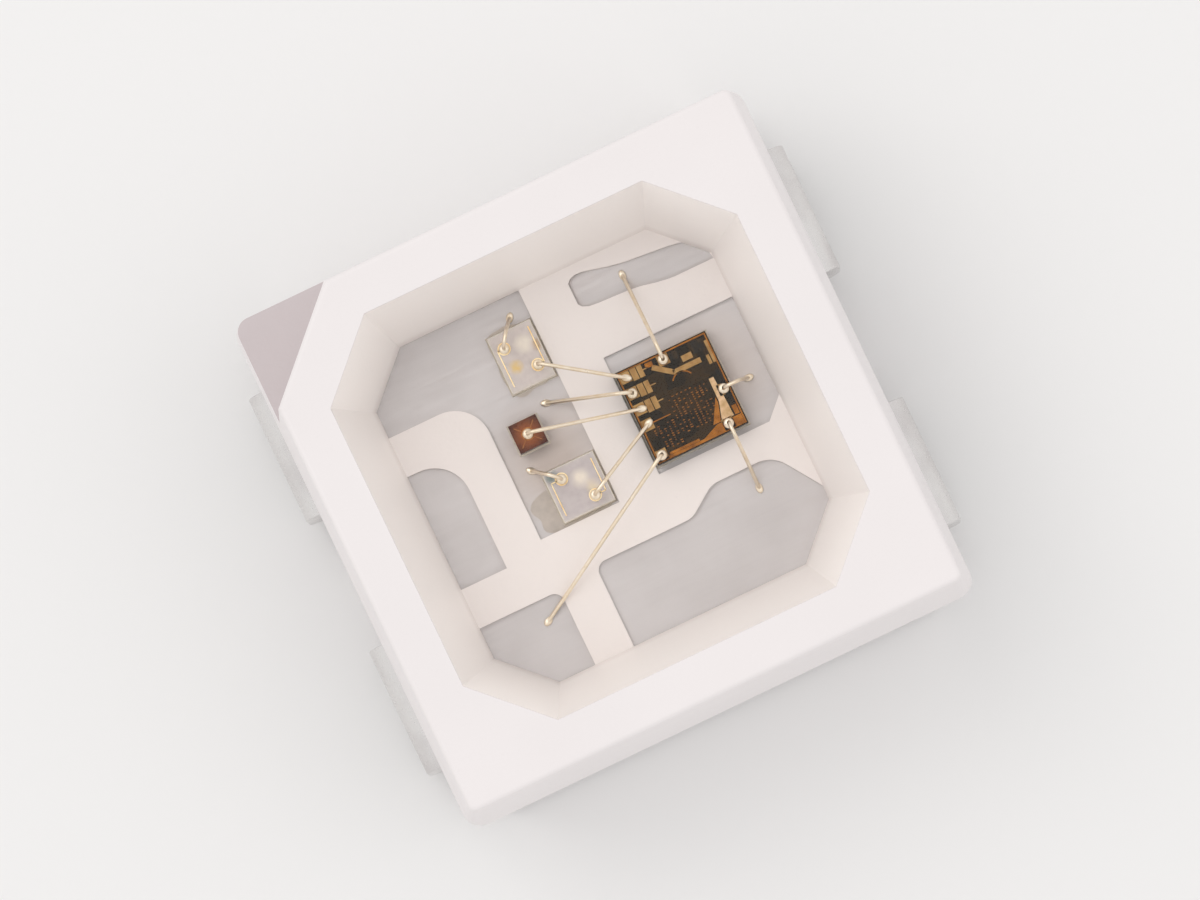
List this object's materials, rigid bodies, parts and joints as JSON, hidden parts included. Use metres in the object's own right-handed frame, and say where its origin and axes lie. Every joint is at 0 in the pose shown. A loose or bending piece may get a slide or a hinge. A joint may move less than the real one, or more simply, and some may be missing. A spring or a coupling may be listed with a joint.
{
  "type": "surface-mount colour light with built-in controller",
  "caption": "Square white moulded light with a clear-filled eight-sided cavity, colour dies and a controller on silvered leads, and folded terminals under two sides.",
  "frame": {"origin": "centre of the underside, on the plane that the four feet stand on", "axes": "+Z the way the light leaves, +X towards the side with the data input and ground terminals, +Y towards the side with the polarity notch, which lies in the corner at -X, +Y"},
  "size_m": [0.0038, 0.0036, 0.0019],
  "materials": {
    "white_moulding": "fine matt moulded white",
    "clear_filling": "clear, glossy, dished top",
    "silvered_lead": "semi-bright silver plating on copper",
    "controller_silicon": "polished silicon with a fine circuit pattern",
    "red_die_crystal": "orange-brown crystal with a gold contact",
    "clear_die_crystal": "clear polished crystal with gold contacts",
    "die_glue": "thin glossy film",
    "gold_wire": "bright drawn gold"
  },
  "bodies": {
    "root": {"housing": "white_moulding", "encapsulant": "clear_filling", "supply_lead": "silvered_lead", "output_lead": "silvered_lead", "ground_lead": "silvered_lead", "input_lead": "silvered_lead", "controller_attach": "die_glue", "controller_die": "controller_silicon", "red_attach": "die_glue", "red_die": "red_die_crystal", "green_attach": "die_glue", "green_die": "clear_die_crystal", "blue_attach": "die_glue", "blue_die": "clear_die_crystal", "green_supply_wire": "gold_wire", "green_drive_wire": "gold_wire", "controller_supply_wire": "gold_wire", "red_drive_wire": "gold_wire", "blue_drive_wire": "gold_wire", "blue_supply_wire": "gold_wire", "data_output_wire": "gold_wire", "data_input_wire": "gold_wire", "ground_wire": "gold_wire", "second_ground_wire": "gold_wire"}
  },
  "joints": []
}
